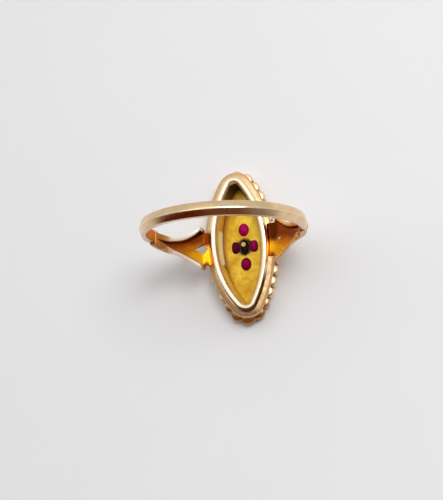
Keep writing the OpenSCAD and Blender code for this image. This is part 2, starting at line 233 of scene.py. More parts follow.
class StageSettings(PropertyGroup):
    floor_half: length("Floor half width", "Half width of the floor", 400)
    floor: colour("Floor", "the floor", (0.85, 0.87, 0.895))
    surround: colour("Surround", "the light from all round", (0.72, 0.72, 0.72))
    shade: colour("Shade", "the light from below the camera", (0.42, 0.42, 0.42))
    zenith: colour("Zenith", "the ceiling's light", (1.3, 1.3, 1.28))
    dark: colour("Dark", "the dark room behind the camera", (0.14, 0.065, 0.038))
    dark_left: colour("Dark left", "its left part", (0.10, 0.013, 0.005))
    key_power: FloatProperty(name="Key power", description="Main lamp", default=0.36, unit="POWER")
    key_size: length("Key size", "Width of the main lamp", 140)
    key_place: vector("Key place", "Place of the main lamp", (0.11, 0.07, 0.26))
    overhead: vector("Overhead", "Way to the middle of the ceiling's light", (-0.22, 0.25, 0.94), "XYZ")
    patch_inner: angle("Inner edge", "Angle from there at which that light starts to fade", 18)
    patch_outer: angle("Outer edge", "Angle from there at which it has gone", 38)
    tilt: vector(
        "Tilt",
        "How the ring is turned towards the camera, about X, Y and Z",
        [math.radians(a) for a in (-12.02, -12.5, 4.77)],
        "EULER",
    )
    aim: vector(
        "Aim",
        "The camera from the middle of the finger hole, in its own axes",
        (-0.193 * MM, -2.529 * MM, 120 * MM),
    )
    scale: FloatProperty(
        name="Scale", description="Pixels for a millimetre in the photograph", default=8.933
    )


SIZES = {
    "ring_shank": ShankSizes,
    "ring_shoulders": ShoulderSizes,
    "ring_head": HeadSizes,
    "ring_border": BorderSizes,
    "ring_stones": StonePlaces,
    "ring_gold": GoldFinish,
    "ring_stage": StageSettings,
}


# Material building


class Nodes:
    """Short ways to add and join the nodes of their owner, a material or the world."""

    def __init__(self, owner, coordinates="Object"):
        owner.use_nodes = True
        self.owner, self.tree = owner, owner.node_tree
        self.tree.nodes.clear()
        self.place = self.add("ShaderNodeTexCoord").outputs[coordinates]

    def add(self, kind, **values):
        node = self.tree.nodes.new(kind)
        for key, value in values.items():
            setattr(node, key, value)
        return node

    def fill(self, socket, value):
        """Joins a socket to another node's output, or sets it to a plain value."""
        if hasattr(value, "is_linked"):
            self.tree.links.new(value, socket)
        else:
            socket.default_value = value

    def made(self, kind, **inputs):
        """A new node, its inputs filled by name."""
        node = self.add(kind)
        for key, value in inputs.items():
            self.fill(node.inputs[key.replace("_", " ")], value)
        return node

    def worked_out(self, kind, operation, first, second=0):
        node = self.add(kind, operation=operation)
        self.fill(node.inputs[0], first)
        self.fill(node.inputs[1], second)
        return node.outputs["Value"]

    def plus(self, first, second):
        return self.worked_out("ShaderNodeMath", "ADD", first, second)

    def minus(self, first, second):
        return self.worked_out("ShaderNodeMath", "SUBTRACT", first, second)

    def times(self, first, second):
        return self.worked_out("ShaderNodeMath", "MULTIPLY", first, second)

    def unsigned(self, value):
        return self.worked_out("ShaderNodeMath", "ABSOLUTE", value)

    def distance(self, point, place=None):
        return self.worked_out("ShaderNodeVectorMath", "DISTANCE", place or self.place, point)

    def axes(self, place=None):
        return self.made("ShaderNodeSeparateXYZ", Vector=place or self.place).outputs

    def stretched(self, scale):
        return self.made("ShaderNodeMapping", Vector=self.place, Scale=scale).outputs["Vector"]

    def outward(self):
        return self.add("ShaderNodeTexCoord").outputs["Normal"]

    def noise(self, scale, detail=3.0, roughness=0.5, distortion=0.0, place=None):
        node = self.made("ShaderNodeTexNoise", Scale=scale, Detail=detail, Roughness=roughness)
        self.fill(node.inputs["Vector"], place or self.place)
        self.fill(node.inputs["Distortion"], distortion)
        return node.outputs["Fac"]

    def ranged(self, value, low, high, to_low=0.0, to_high=1.0):
        node = self.made("ShaderNodeMapRange", Value=value, From_Min=low, From_Max=high)
        self.fill(node.inputs["To Min"], to_low)
        self.fill(node.inputs["To Max"], to_high)
        return node.outputs["Result"]

    def mixed(self, factor, first, second):
        """The first colour where the factor is 0, the second where it is 1."""
        node = self.add("ShaderNodeMix", data_type="RGBA")
        self.fill(node.inputs["Factor"], factor)
        for k, value in ((6, first), (7, second)):
            self.fill(node.inputs[k], value if hasattr(value, "is_linked") else (*value, 1))
        return node.outputs[2]

    def bump(self, height, strength, depth, under=None):
        node = self.made("ShaderNodeBump", Height=height, Strength=strength, Distance=depth)
        if under:
            self.fill(node.inputs["Normal"], under)
        return node.outputs["Normal"]

    def shader(self, body, **inputs):
        node = self.made("ShaderNodeBsdfPrincipled", Base_Color=body, **inputs)
        self.made("ShaderNodeOutputMaterial", Surface=node.outputs["BSDF"])
        return self.owner


def new_material(name):
    return Nodes(bpy.data.materials.new(name))


def polished_gold(name, bright, worn, gloss=0.16, scratches=0.1, dents=0.05):
    """Polished gold gone a little dull: patches, fine scratches in one direction and small dents."""
    n = new_material(name)
    patches = n.noise(900, 4, 0.6)
    body = n.mixed(n.ranged(patches, 0.35, 0.7), bright, worn)
    lines = n.noise(1000, 4, 0.7, place=n.stretched((1, 7, 7)))
    rough = n.ranged(n.noise(2200, 5, 0.65), 0.3, 0.75, gloss * 0.7, gloss * 1.7)
    waves = n.bump(n.noise(420, 2, 0.4), 0.25, dents * MM)
    fine = n.bump(lines, scratches, 0.02 * MM, waves)
    return n.shader(body, Metallic=1.0, Roughness=rough, Normal=fine)


def lip_gold(name, bright, finish, gloss, tip):
    """A shoulder's lips and outside: painted shade on the outside, browner by the seam as a painted dark
    reflection, of the tip's colour at the lips' tips.
    """
    n = new_material(name)
    out = n.unsigned(n.axes()["X"])
    ragged = n.plus(out, n.times(n.noise(1500), 0.9 * MM))
    seam = n.mixed(n.ranged(n.noise(1100, 4, 0.6), 0.4, 0.62), finish.seam, finish.seam_worn)
    # Towards the tips the lips take the tip's colour, on the left a painted highlight.
    body = n.mixed(n.ranged(out, 5.8 * MM, 5.2 * MM), bright, tip)
    # Faces that turn away from above take the duller gold: painted shade.
    body = n.mixed(n.ranged(n.axes(n.outward())["Z"], 0.3, 0.05), body, finish.worn_and_shaded_rose)
    # Near the seams the lips turn brown: a painted dark reflection.
    body = n.mixed(n.ranged(ragged, 7.6 * MM, 8.2 * MM), body, seam)
    rough = n.ranged(n.noise(2200, 5, 0.65), 0.3, 0.75, gloss * 0.7, gloss * 1.6)
    waves = n.bump(n.noise(500, 2, 0.4), 0.25, 0.05 * MM)
    return n.shader(body, Metallic=0.65, Roughness=rough, Normal=waves)


def hollow_gold(name, finish, shade_spot):
    """Satin gold with its reflections painted in: a painted golden reflection at the head's lower side,
    painted deep brown shade above and out.

    Its last argument is the place at the head, at the foot of the legs, round which shade is painted.
    """
    n = new_material(name)
    along, out = n.axes()["Y"], n.unsigned(n.axes()["X"])
    beyond = n.times(n.minus(out, 6.3 * MM), 0.35)
    ragged = n.times(n.minus(n.noise(700, 3, 0.6), 0.5), 1.2 * MM)
    level = n.plus(n.plus(along, beyond), ragged)
    # Painted reflection and shade: golden low by the head, orange, then deep brown shade above and further
    # out.
    body = n.mixed(n.ranged(level, -1.45 * MM, -0.75 * MM), finish.bright_hollow, finish.hollow)
    body = n.mixed(n.ranged(level, -0.55 * MM, 0.25 * MM), body, finish.deep_hollow)
    # Painted shade on the upper legs by the rim.
    shade_by_the_rim = n.ranged(out, 5.0 * MM, 4.3 * MM)
    above = n.ranged(n.plus(along, n.times(ragged, 0.5)), -0.25 * MM, 0.25 * MM)
    body = n.mixed(n.times(shade_by_the_rim, above), body, finish.shade_by_the_rim)
    # Painted shade round that spot at the foot of the legs.
    dirt = n.distance(shade_spot, n.stretched((1, 1, 0)))
    dirt = n.plus(dirt, n.times(ragged, 0.25))
    body = n.mixed(n.ranged(dirt, 0.5 * MM, 0.15 * MM), body, finish.shade_spot)
    rough = n.ranged(n.noise(1500, 4), 0.3, 0.7, 0.26, 0.42)
    waves = n.bump(n.noise(600), 0.35, 0.08 * MM)
    return n.shader(body, Metallic=1.0, Roughness=rough, Normal=waves)


# Shapes


def rounded(corners, radii, steps=4):
    """A line through corners in which each corner with a radius is worn round."""
    points = [np.array(c, float) for c in corners]
    line = []
    for i, corner in enumerate(points):
        if not radii[i]:
            line.append(corner)
            continue
        ways = [points[i - 1] - corner, points[(i + 1) % len(points)] - corner]
        far = [max(np.linalg.norm(way), 1e-12) for way in ways]
        reach = min(radii[i], 0.45 * min(far))
        start, end = (corner + way / norm * reach for way, norm in zip(ways, far))
        for k in range(steps + 1):
            f = k / steps
            line.append((1 - f) ** 2 * start + 2 * f * (1 - f) * corner + f * f * end)
    return line


def ring_faces(count, size, closed=False):
    """Faces between rings of points, each ring closed on itself."""
    rows = count if closed else count - 1
    return [
        (
            k * size + i,
            k * size + (i + 1) % size,
            (k + 1) % count * size + (i + 1) % size,
            (k + 1) % count * size + i,
        )
        for k in range(rows)
        for i in range(size)
    ]


def end_faces(count, size):
    """The faces that close the first and the last of such rings."""
    last = (count - 1) * size
    return [tuple(range(size)), tuple(reversed(range(last, last + size)))]


# Edges sharper than this stay sharp
CREASE = math.radians(38)


def new_object(name, data):
    thing = bpy.data.objects.new(name, data)
    bpy.context.scene.collection.objects.link(thing)
    return thing


def make_piece(name, points, faces, materials, which=None, replaced="ring_mount"):
    """A smooth gold mesh that rides with the ring and may stand for a node of the frame.

    which gives the number of each face's material.
    """
    mesh = bpy.data.meshes.new(name)
    mesh.from_pydata([tuple(p) for p in points], [], faces)
    for material in materials:
        mesh.materials.append(material)
    if which:
        mesh.polygons.foreach_set("material_index", which)
    shape = bmesh.new()
    shape.from_mesh(mesh)
    bmesh.ops.remove_doubles(shape, verts=shape.verts, dist=1e-7)
    bmesh.ops.dissolve_degenerate(shape, edges=shape.edges, dist=1e-8)
    bmesh.ops.recalc_face_normals(shape, faces=shape.faces)
    shape.to_mesh(mesh)
    shape.free()
    mesh.polygons.foreach_set("use_smooth", [True] * len(mesh.polygons))
    mesh.set_sharp_from_angle(angle=CREASE)
    mesh.update()
    piece = new_object(name, mesh)
    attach(piece, "root")
    if replaced:
        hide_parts(replaced)


def on_the_head(points, head):
    """Moves points from the head's own place to where it sits, a little askew on the shank."""
    cos, sin = math.cos(head.turn), math.sin(head.turn)
    return [(x * cos - y * sin - head.off, x * sin + y * cos, z) for x, y, z in points]


class Outline:
    """The head's outline: two long arcs for its sides and two short ones for its ends."""

    def __init__(self, head):
        self.tip_r = head.tip_r
        self.end_y = head.rim_half_l - head.tip_r
        less = head.rim_half_w - head.tip_r
        self.side_c = (self.end_y**2 - less**2) / (2 * less)
        self.side_r = self.side_c + head.rim_half_w
        self.turn = math.atan2(self.end_y, self.side_c)

    def quarter(self, o):
        return (self.tip_r + o) * (math.pi / 2 - self.turn), (self.side_r + o) * self.turn

    def at(self, o, part):
        """The rim's point and outward direction at a share of the way round the offset line o."""
        end_len, side_len = self.quarter(o)
        whole = end_len + side_len
        k, s = divmod(part % 1 * 4 * whole, whole)
        k = int(k)
        s = whole - s if k % 2 else s
        if s < end_len:
            a = math.pi / 2 - s / (self.tip_r + o)
            middle, r = (0, self.end_y), self.tip_r
        else:
            a = self.turn - (s - end_len) / (self.side_r + o)
            middle, r = (-self.side_c, 0), self.side_r
        right, up = (1 if k < 2 else -1), (1 if k in (0, 3) else -1)
        out = np.array((right * math.cos(a), up * math.sin(a)))
        point = np.array((right * middle[0], up * middle[1])) + r * out
        return point, out


# The shank


def shank_profile(shank):
    """The shank's section: radius and place along the finger."""
    half, outer = shank.width / 2, FINGER_R + shank.edge_t
    top = shank.crest_share * half
    near = outer + 0.9 * shank.crest
    corners = [
        (FINGER_R, -half + shank.inner_bevel),
        (FINGER_R + shank.inner_bevel, -half),
        (outer, -half),
        (near, -top),
        (near, top),
        (outer, half),
        (FINGER_R + shank.inner_bevel, half),
        (FINGER_R, half - shank.inner_bevel),
    ]
    soft = shank.softening
    return rounded(corners, [soft, soft, soft, 1.6 * soft, 1.6 * soft, soft, soft, soft])


def about_the_finger(a, r, y):
    """The point at an angle from the head, a radius from the finger's line and a place along it."""
    return (r * math.sin(a), y, FINGER_Z - r * math.cos(a))


def shank_points(shank, profile, steps=180):
    start = shank.seam - shank.seam_lap
    points = []
    for k in range(steps + 1):
        a = start + (2 * math.pi - 2 * start) * k / steps
        points += [about_the_finger(a, r, y) for r, y in profile]
    return points, len(profile), steps + 1


class RING_OT_shank(Operator):
    """Make the shank, a soft knife-edge band from seam to seam"""

    bl_idname = "ring.shank"
    bl_label = "Shank"

    def execute(self, context):
        scene = context.scene
        finish, shank = scene.ring_gold, scene.ring_shank
        gold = polished_gold("shank_gold", finish.rose, finish.worn_and_shaded_rose, 0.11, scratches=0.6)
        # Paler gold for the crest: partly wear, partly a painted highlight.
        crest = polished_gold("shank_crest", finish.crest, finish.rose, 0.2)
        # The inside gets a painted orange reflection of the gold facing it.
        inner = polished_gold("shank_inside", finish.inside, finish.hollow, 0.42)
        profile = shank_profile(shank)
        points, size, count = shank_points(shank, profile)
        faces = ring_faces(count, size)
        # Faces inside the shank take the painted orange reflection, over more of the section by the seams.
        which, seam_share = [], 0.04
        for k in range(count - 1):
            by_the_seams = not seam_share < k / count < 1 - seam_share
            orange = FINGER_R + (0.9 * shank.edge_t if by_the_seams else 0.6 * shank.inner_bevel)
            for i, (r, y) in enumerate(profile):
                after_r, after_y = profile[(i + 1) % size]
                # The crest's top faces take that paler gold with its painted highlight.
                top = max(abs(y), abs(after_y)) < shank.crest_share * shank.width * 0.6
                which.append(1 if max(r, after_r) < orange else 2 if top and r > orange else 0)
        faces += end_faces(count, size)
        make_piece("shank", points, faces, [gold, inner, crest], which + [0, 0])
        return {"FINISHED"}


# The shoulders

# How far up the hollow's wall its lower lip's polish starts, and how many sides of a half
# section, from its middle, lie in the hollow below a lower lip, below an upper lip and on a leg
POLISHED_FROM = 0.5
LOW_SIDES, HIGH_SIDES, LEG_SIDES = 6, 8, 15


def from_0_to_1(value):
    return min(max(value, 0), 1)


class Shoulder:
    """One fishtail shoulder, on the right; side -1 mirrors it to the left."""

    def __init__(self, shank, sizes, head, side):
        self.shank, self.sizes, self.side = shank, sizes, side
        for key in ("flare", "drift", "lean", "gap", "shut", "rise"):
            setattr(self, key, getattr(sizes, f"{key}_right" if side > 0 else f"{key}_left"))
        self.head_x = head.rim_half_w + head.mould_out - side * head.off
        seam_r = FINGER_R + sizes.end_t
        self.seam_x = seam_r * math.sin(shank.seam)
        self.back_r = math.hypot(self.seam_x, seam_r * math.cos(shank.seam) - sizes.deepening)
        self.back_z = FINGER_Z - sizes.deepening
        self.lip_r = FINGER_R + sizes.lip_ease
        self.floor_r = self.back_r - shank.crest - sizes.wall
        self.start_x = FINGER_R * math.sin(shank.seam)

    def along(self, x):
        """Share of the way from the seam to the tips."""
        return from_0_to_1((self.seam_x - x) / (self.seam_x - self.sizes.tip_x))

    def settled(self, x):
        return min(1, self.along(x) / self.sizes.flare_start)

    def middle(self, x):
        return self.drift * self.settled(x)

    def half(self, x, up):
        """Half width of the fishtail's upper or lower side, seen from the finger hole."""
        t, first = self.along(x), self.sizes.flare_start
        power = self.sizes.flare_power if up > 0 else self.sizes.low_power
        late = 0 if t <= first else ((t - first) / (1 - first)) ** power
        start = self.shank.width / 2 - 0.01 * MM
        waist = self.sizes.waist
        return start + (waist - start) * self.settled(x) + (self.flare - waist) * late

    def leaning(self, x, up):
        """How far the lip lies outside the wall's foot: only the lower lips lean."""
        t = self.along(x)
        return 0 if up > 0 else self.lean * min(1, t / 0.3) * (1 - 0.45 * max(0, t - 0.75) / 0.25)

    def gap_at(self, x):
        """Half width of the gap between the legs, which the floor closes again over the mould."""
        in_gap = (self.head_x + self.sizes.gap_len - x) / self.sizes.gap_len
        over_mould = (x - self.head_x - self.shut) / (0.3 * MM)
        return self.gap * from_0_to_1(in_gap) ** 0.75 * from_0_to_1(over_mould)

    def back_at(self, y):
        """Radius of the back, whose crest runs on from the shank's."""
        return self.back_r - self.shank.crest * min(1, abs(y) / (self.shank.width / 2))

    def half_section(self, f, up, end):
        """Points of one half's section from the hollow's middle over the lip to the back's middle.

        f runs from 0 at the seam to 1 at the tips. end is None or the shape beyond the tips:
        place, share of the lip's height and half width.
        """
        wall = self.sizes.wall
        if end is None:
            seam, tip = math.pi / 2, self.sizes.tip_x
            lip_a = self.shank.seam + self.shank.seam_lap
            lip_a += f * (math.asin(tip / self.lip_r) - lip_a)
            floor_a = seam + f * (math.asin(tip / self.floor_r) - seam)
            lip_x, floor_x = self.lip_r * math.sin(lip_a), self.floor_r * math.sin(floor_a)
            lip_half, floor_half = self.half(lip_x, up), self.half(floor_x, up)
            lip_share = 1
            opened = from_0_to_1((self.start_x - lip_x) / self.sizes.hollow_point)
        else:
            lip_x, lip_share, lip_half = end
            floor_x, floor_half, opened = lip_x, lip_half, 1
            lip_a, floor_a = math.asin(lip_x / self.lip_r), math.asin(lip_x / self.floor_r)
        lip_z = FINGER_Z - self.lip_r * math.cos(lip_a)
        floor_z = self.back_z - self.floor_r * math.cos(floor_a)
        depth = min(1, 0.02 + 1.3 * opened)
        floor_x = lip_x + (floor_x - lip_x) * depth
        floor_z = lip_z + (floor_z - lip_z) * depth
        lip_z = floor_z + (lip_z - floor_z) * lip_share
        lip_half += lip_share * self.leaning(lip_x, up)
        floor_in = max(0.03 * MM, (floor_half - wall) * opened)
        lip_w = wall * 0.4 + (self.sizes.lip_w - wall * 0.4) * lip_share
        lip_in = max(0.05 * MM, (lip_half - lip_w) * opened)
        middle = self.middle(lip_x)
        inside = middle + up * self.gap_at(floor_x)
        floor_z += self.rise * from_0_to_1((self.head_x + 0.15 * MM - lip_x) / (0.45 * MM))
        lip_z = max(lip_z, floor_z)

        def back(y):
            r = self.back_at(y)
            x = floor_x if end else r * math.sin(math.pi / 2 + f * (math.asin(tip / r) - math.pi / 2))
            return (x, y, self.back_z - math.sqrt(max(r * r - x * x, 0)))

        if not end:
            floor_half = self.half(back(middle + up * floor_half)[0], up)
        edge = back(middle + up * floor_half)
        foot = np.array((floor_x, middle + up * floor_in, floor_z))
        brim = np.array((lip_x, middle + up * lip_in, lip_z))
        corners = [
            (floor_x, inside, floor_z),
            foot,
            foot + (brim - foot) * POLISHED_FROM,
            brim,
            (lip_x, middle + up * lip_half, lip_z),
            edge,
            back(inside + (edge[1] - inside) * 0.8),
        ]
        line = rounded(corners, [0, 0.16 * MM, 0, 0.17 * MM, 0.2 * MM, 0.12 * MM, 0])
        return line + [back(inside + (edge[1] - inside) * s) for s in (0.6, 0.45, 0.3, 0.2, 0.1, 0)]

    def stations(self):
        """Sections from the seam to the tips, round the tips, and on under the head's mould."""
        tip, flare = self.sizes.tip_x, self.flare
        wall, legs = self.sizes.wall, self.sizes.legs_half
        rows = [(f, None) for f in np.linspace(0, 0.97, 56)]
        notch = (tip + self.head_x) / 2
        ends = [
            (tip + 0.05 * MM, 0.97, flare - 0.02 * MM),
            (tip + 0.02 * MM, 0.85, flare - 0.07 * MM),
            (tip, 0.62, flare - 0.14 * MM),
            (tip - 0.01 * MM, 0.3, flare - 0.3 * MM),
            (tip - 0.03 * MM, 0.05, legs + wall),
            (tip - 0.1 * MM, 0.0, legs + 0.6 * wall),
            (notch, 0.0, legs),
        ]
        last = self.head_x - self.shank.width / 2
        ends += [(x, 0.0, legs) for x in np.linspace(notch, last, 6)[1:]]
        return rows + [(1, end) for end in ends]

    def build(self):
        """Points, faces and the number of each face's material: 1 in the hollow."""
        rows = self.stations()
        halves = [[self.half_section(f, up, end) for f, end in rows] for up in (1, -1)]
        size, count = len(halves[0][0]), len(rows)
        points, faces, which = [], [], []
        for k, sections in enumerate(halves):
            first = k * size * count
            points += [p for section in sections for p in section]
            for r in range(count - 1):
                leg = rows[r][1] is not None and rows[r][1][1] < 0.5
                sides = LEG_SIDES if leg else LOW_SIDES if k else HIGH_SIDES
                for i in range(size - 1):
                    a = first + r * size + i
                    faces.append((a, a + 1, a + size + 1, a + size))
                    which.append(int(i < sides))
                gap = [self.gap_at(sections[j][0][0]) for j in (r, r + 1)]
                if max(gap) > 0:
                    a = first + r * size
                    faces.append((a, a + size, a + 2 * size - 1, a + size - 1))
                    which.append(1)
            last = first + (count - 1) * size
            faces.append(tuple(range(last, last + size)))
            which.append(0)
        top, low = list(range(size)), [size * count + i for i in reversed(range(1, size - 1))]
        faces.append(tuple(top + low))
        return [(self.side * x, y, z) for x, y, z in points], faces, which + [0]


def solder_line(shank, side, steps=20):
    """The low line of solder across the inside of the shank at a seam."""
    half = shank.width / 2 - 0.4 * shank.inner_bevel
    sunk, waver, around = 0.02 * MM, 0.005, 9
    points = []
    for k in range(steps + 1):
        y = half * (2 * k / steps - 1)
        for b in np.linspace(0, math.pi, around):
            a = shank.seam + waver * math.sin(9 * k / steps)
            a += math.cos(b) * shank.seam_half / FINGER_R
            r = FINGER_R + sunk - (shank.seam_proud + sunk) * math.sin(b)
            x, _, z = about_the_finger(a, r, y)
            points.append((side * x, y, z))
    return points, around, steps + 1


class RING_OT_shoulders(Operator):
    """Make the two hollow fishtail shoulders and the solder at their seams"""

    bl_idname = "ring.shoulders"
    bl_label = "Shoulders"

    def execute(self, context):
        scene = context.scene
        finish = scene.ring_gold
        solder = polished_gold("solder", finish.solder, finish.rose, 0.3)
        # Each shoulder's lips are painted for the light on it: warm orange on the right, pale and lit on
        # the left with painted highlights at the tips.
        for name, side, bright, tip, gloss in (
            ("right", 1, finish.warm, finish.warm, 0.24),
            ("left", -1, finish.lips, finish.tips, 0.36),
        ):
            shape = Shoulder(scene.ring_shank, scene.ring_shoulders, scene.ring_head, side)
            gold = lip_gold(f"lips_{name}", bright, finish, gloss, tip)
            # The place at the foot of the legs round which shade is painted.
            leg_x = side * (shape.head_x - 0.25 * MM)
            leg_y = shape.drift - scene.ring_shoulders.legs_half + 0.1 * MM
            hollow = hollow_gold(f"hollow_{name}", finish, (leg_x, leg_y, 0))
            points, faces, which = shape.build()
            make_piece(f"shoulder_{name}", points, faces, [gold, hollow], which)
            points, size, count = solder_line(scene.ring_shank, side)
            faces = ring_faces(count, size) + end_faces(count, size)
            make_piece(f"solder_{name}", points, faces, [solder], replaced=None)
        return {"FINISHED"}


# The head


def arc(middle, r, first, last, steps):
    turns = np.radians(np.linspace(first, last, steps))
    return [(middle[0] + r * math.cos(a), middle[1] + r * math.sin(a)) for a in turns]


# Where the round of the mould and of the rolled rim starts and ends, in degrees from level
MOULD_FROM, MOULD_TO = -60, 60
ROLL_FROM, ROLL_TO = -15, 205


def wall_profile(head, border):
    """The wall's section, offset from the rim's outline and height, and where its inside starts."""
    roll_r = head.rim_w / 2
    band = border.out - border.bead_r
    mould = (head.mould_out - head.mould_half_h, head.height - head.mould_drop)
    mould = arc(mould, head.mould_half_h, MOULD_FROM, MOULD_TO, 13)
    roll = arc((-roll_r, head.height - roll_r), roll_r, ROLL_FROM, ROLL_TO, 23)
    sill = -head.rim_w - head.taper
    rebate = sill + head.ledge_w
    ledge_z = PLATE_HIGH.z + head.plate_gap
    rub_z = PLATE_LOW.z - head.plate_gap
    low = [(rebate - head.rub_over / 2, border.lift), (band, border.lift), (band, border.height)]
    deepest = (-head.groove, (mould[-1][1] + roll[0][1]) / 2)
    groove = rounded([mould[-1], deepest, roll[0]], [0, 0.12 * MM, 0])[1:-1]
    inner = [(sill, ledge_z), (rebate, ledge_z), (rebate, rub_z), (rebate - head.rub_over, rub_z)]
    outside = low + mould + groove + roll
    middle = ((sill - head.rim_w) / 2, (head.height - roll_r + ledge_z) / 2)
    return outside + [middle] + inner, len(outside) - 3


# The sides of the wall's section that make up the groove, and the numbers of its materials
GROOVE_FROM, GROOVE_TO = 18, 33
RIM, INSIDE, GROOVE, MOULD = range(4)


class RING_OT_head(Operator):
    """Make the head's wall with its rolled rim, groove and round mould"""

    bl_idname = "ring.head"
    bl_label = "Head wall"

    def execute(self, context):
        scene = context.scene
        finish, head = scene.ring_gold, scene.ring_head
        gold = polished_gold("rim_gold", finish.rim, finish.rose, 0.34, scratches=0.05, dents=0.1)
        mould = polished_gold("mould_gold", finish.mould, finish.worn_and_shaded_rose, 0.42, scratches=0.05)
        outline = Outline(head)
        profile, inside = wall_profile(head, scene.ring_border)
        count, points = 320, []
        for k in range(count):
            point, out = outline.at(0, k / count)
            sway = head.sway * max(-point[1] / head.rim_half_l, 0) ** 3
            ring = [(*(point + out * o + (sway, 0)), z) for o, z in profile]
            points += on_the_head(ring, head)
        size = len(profile)
        faces = ring_faces(count, size, closed=True)
        sides = [MOULD] * GROOVE_FROM + [GROOVE] * (GROOVE_TO - GROOVE_FROM)
        sides += [RIM] * (inside - GROOVE_TO) + [INSIDE] * (size - inside)
        which = sides * count
        materials = [gold, self.inner_wall(finish), self.groove(finish, head.height), mould]
        make_piece("head_wall", points, faces, materials, which)
        return {"FINISHED"}

    def groove(self, finish, rim_z):
        """The groove under the rim, with a painted dark reflection at its lower right."""
        n = new_material("groove")
        axes = n.axes()
        cloud = n.times(n.noise(1100, 3, 0.6), 1.2 * MM)
        # Painted dark reflection, deepest just below the rim and strongest at the lower right.
        low = n.ranged(n.plus(axes["Y"], cloud), -2.6 * MM, -4.0 * MM)
        right = n.ranged(n.plus(axes["X"], cloud), -0.9 * MM, 0.7 * MM)
        deep = n.ranged(axes["Z"], rim_z, rim_z - 0.1 * MM)
        dirty = n.times(n.times(low, right), deep)
        body = n.mixed(dirty, finish.rim, finish.groove)
        rough = n.ranged(dirty, 0, 1, 0.25, 0.5)
        fine = n.bump(n.noise(3000), 0.2, 0.02 * MM)
        return n.shader(body, Metallic=1.0, Roughness=rough, Normal=fine)

    def inner_wall(self, finish):
        """The wall inside the head: satin, with a painted highlight as a pale strip on its left and
        painted shade below the rim, at its foot, round one spot and in the upper end.
        """
        n = new_material("inner_wall")
        axes = n.axes()
        cloud = n.times(n.noise(900, 4, 0.6), 0.3 * MM)
        across = n.plus(axes["Z"], cloud)
        body = n.mixed(n.noise(1300), finish.wall, finish.wall_shade)
        # Painted shade: a greyer band just below the rim.
        body = n.mixed(n.ranged(across, 2.4 * MM, 2.6 * MM), body, finish.wall_top)
        # A painted highlight: a pale, less metallic strip on the left wall.
        strip = n.ranged(axes["X"], 0, -0.5 * MM)
        for value, first, last in (
            (axes["Y"], -2.35, -2.25),
            (axes["Y"], 2.0, 1.8),
            (across, 1.05, 1.2),
            (across, 2.75, 2.6),
        ):
            strip = n.times(strip, n.ranged(value, first * MM, last * MM))
        # Painted shade at the wall's foot.
        body = n.mixed(n.ranged(across, 1.35 * MM, 1.15 * MM), body, finish.wall_foot_shade)
        body = n.mixed(strip, body, finish.strip)
        # Painted shade round one spot at the wall's foot.
        shade_spot = n.distance((-2.45 * MM, -2.35 * MM, 1.3 * MM))
        body = n.mixed(n.ranged(shade_spot, 0.35 * MM, 0.25 * MM), body, finish.crevice_shade)
        high = n.plus(axes["Y"], n.times(cloud, 3))
        body = n.mixed(n.ranged(high, 5.4 * MM, 6.2 * MM), body, finish.end_shade)
        rough = n.ranged(n.noise(1500, 4), 0.3, 0.7, 0.28, 0.4)
        waves = n.bump(n.noise(500), 0.25, 0.05 * MM)
        metallic = n.ranged(strip, 0, 1, 0.55, 0.1)
        return n.shader(body, Metallic=metallic, Roughness=rough, Normal=waves)


# The beads' section, bottom to top: share of the border's height, share of a bead's radius
BEAD_STEPS = [
    (0.0, 0.6), (0.05, 0.69), (0.14, 0.78), (0.28, 0.88), (0.42, 0.95),
    (0.58, 1.0), (0.74, 1.0), (0.85, 0.95), (0.93, 0.86), (1.0, 0.7),
]

# Half width of the dirty joint between two beads, as a share of a bead
NOTCH_SHARE = 0.075


class RING_OT_border(Operator):
    """Make the border of beads round the front"""

    bl_idname = "ring.border"
    bl_label = "Beaded border"

    def execute(self, context):
        scene = context.scene
        head, border, finish = scene.ring_head, scene.ring_border, scene.ring_gold
        gold = self.bead_gold("border_gold", finish, finish.beads)
        notch = self.bead_gold("notch_gold", finish, finish.notch)
        outline = Outline(head)
        band = border.out - border.bead_r
        pitch = 4 * sum(outline.quarter(band)) / border.beads
        rebate = -head.rim_w - head.taper + head.ledge_w
        inner = rebate + head.rub_over / 2
        per_bead, points = 20, []
        count = border.beads * per_bead
        stretch = border.end_reach / head.rim_half_l
        for k in range(count):
            point, out = outline.at(band, k / count)
            off = (k / per_bead + 0.5) % 1 - 0.5
            section = []
            for height, part in BEAD_STEPS:
                r = border.bead_r * part
                bulge = math.sqrt(max(r * r - (off * pitch) ** 2, 0))
                section.append((band + max(bulge, 0.02 * MM), height * border.height))
            section += [(inner, border.height), (inner, 0)]
            ring = []
            for o, z in section:
                x, y = point + out * o
                y *= 1 + stretch * max(0, o - inner) / (border.out - inner)
                ring.append((x, y, z))
            points += on_the_head(ring, head)
        size = len(BEAD_STEPS) + 2
        faces = ring_faces(count, size, closed=True)
        which = []
        for k in range(count):
            joint = abs((k + 0.5) / per_bead % 1 - 0.5) < NOTCH_SHARE
            which += [int(joint)] * size
        make_piece("beaded_border", points, faces, [gold, notch], which)
        return {"FINISHED"}

    def bead_gold(self, name, finish, bright):
        """Worn gold, brown with painted shade at the lower end."""
        n = new_material(name)
        cloud = n.times(n.noise(900), 1.2 * MM)
        low = n.plus(n.axes()["Y"], cloud)
        # Painted shade: brown towards the lower end.
        body = n.mixed(n.ranged(low, -5.9 * MM, -7.1 * MM), bright, finish.shaded_end_beads)
        rough = n.ranged(n.noise(2200, 4), 0.3, 0.75, 0.26, 0.46)
        waves = n.bump(n.noise(700), 0.3, 0.05 * MM)
        return n.shader(body, Metallic=1.0, Roughness=rough, Normal=waves)


# Plate and stones


def from_the_stones(scene, x, y, z):
    """A place given from the middle of the stones, in the ring's own frame."""
    return on_the_head([(x + scene.ring_stones.off, y, z)], scene.ring_head)[0]


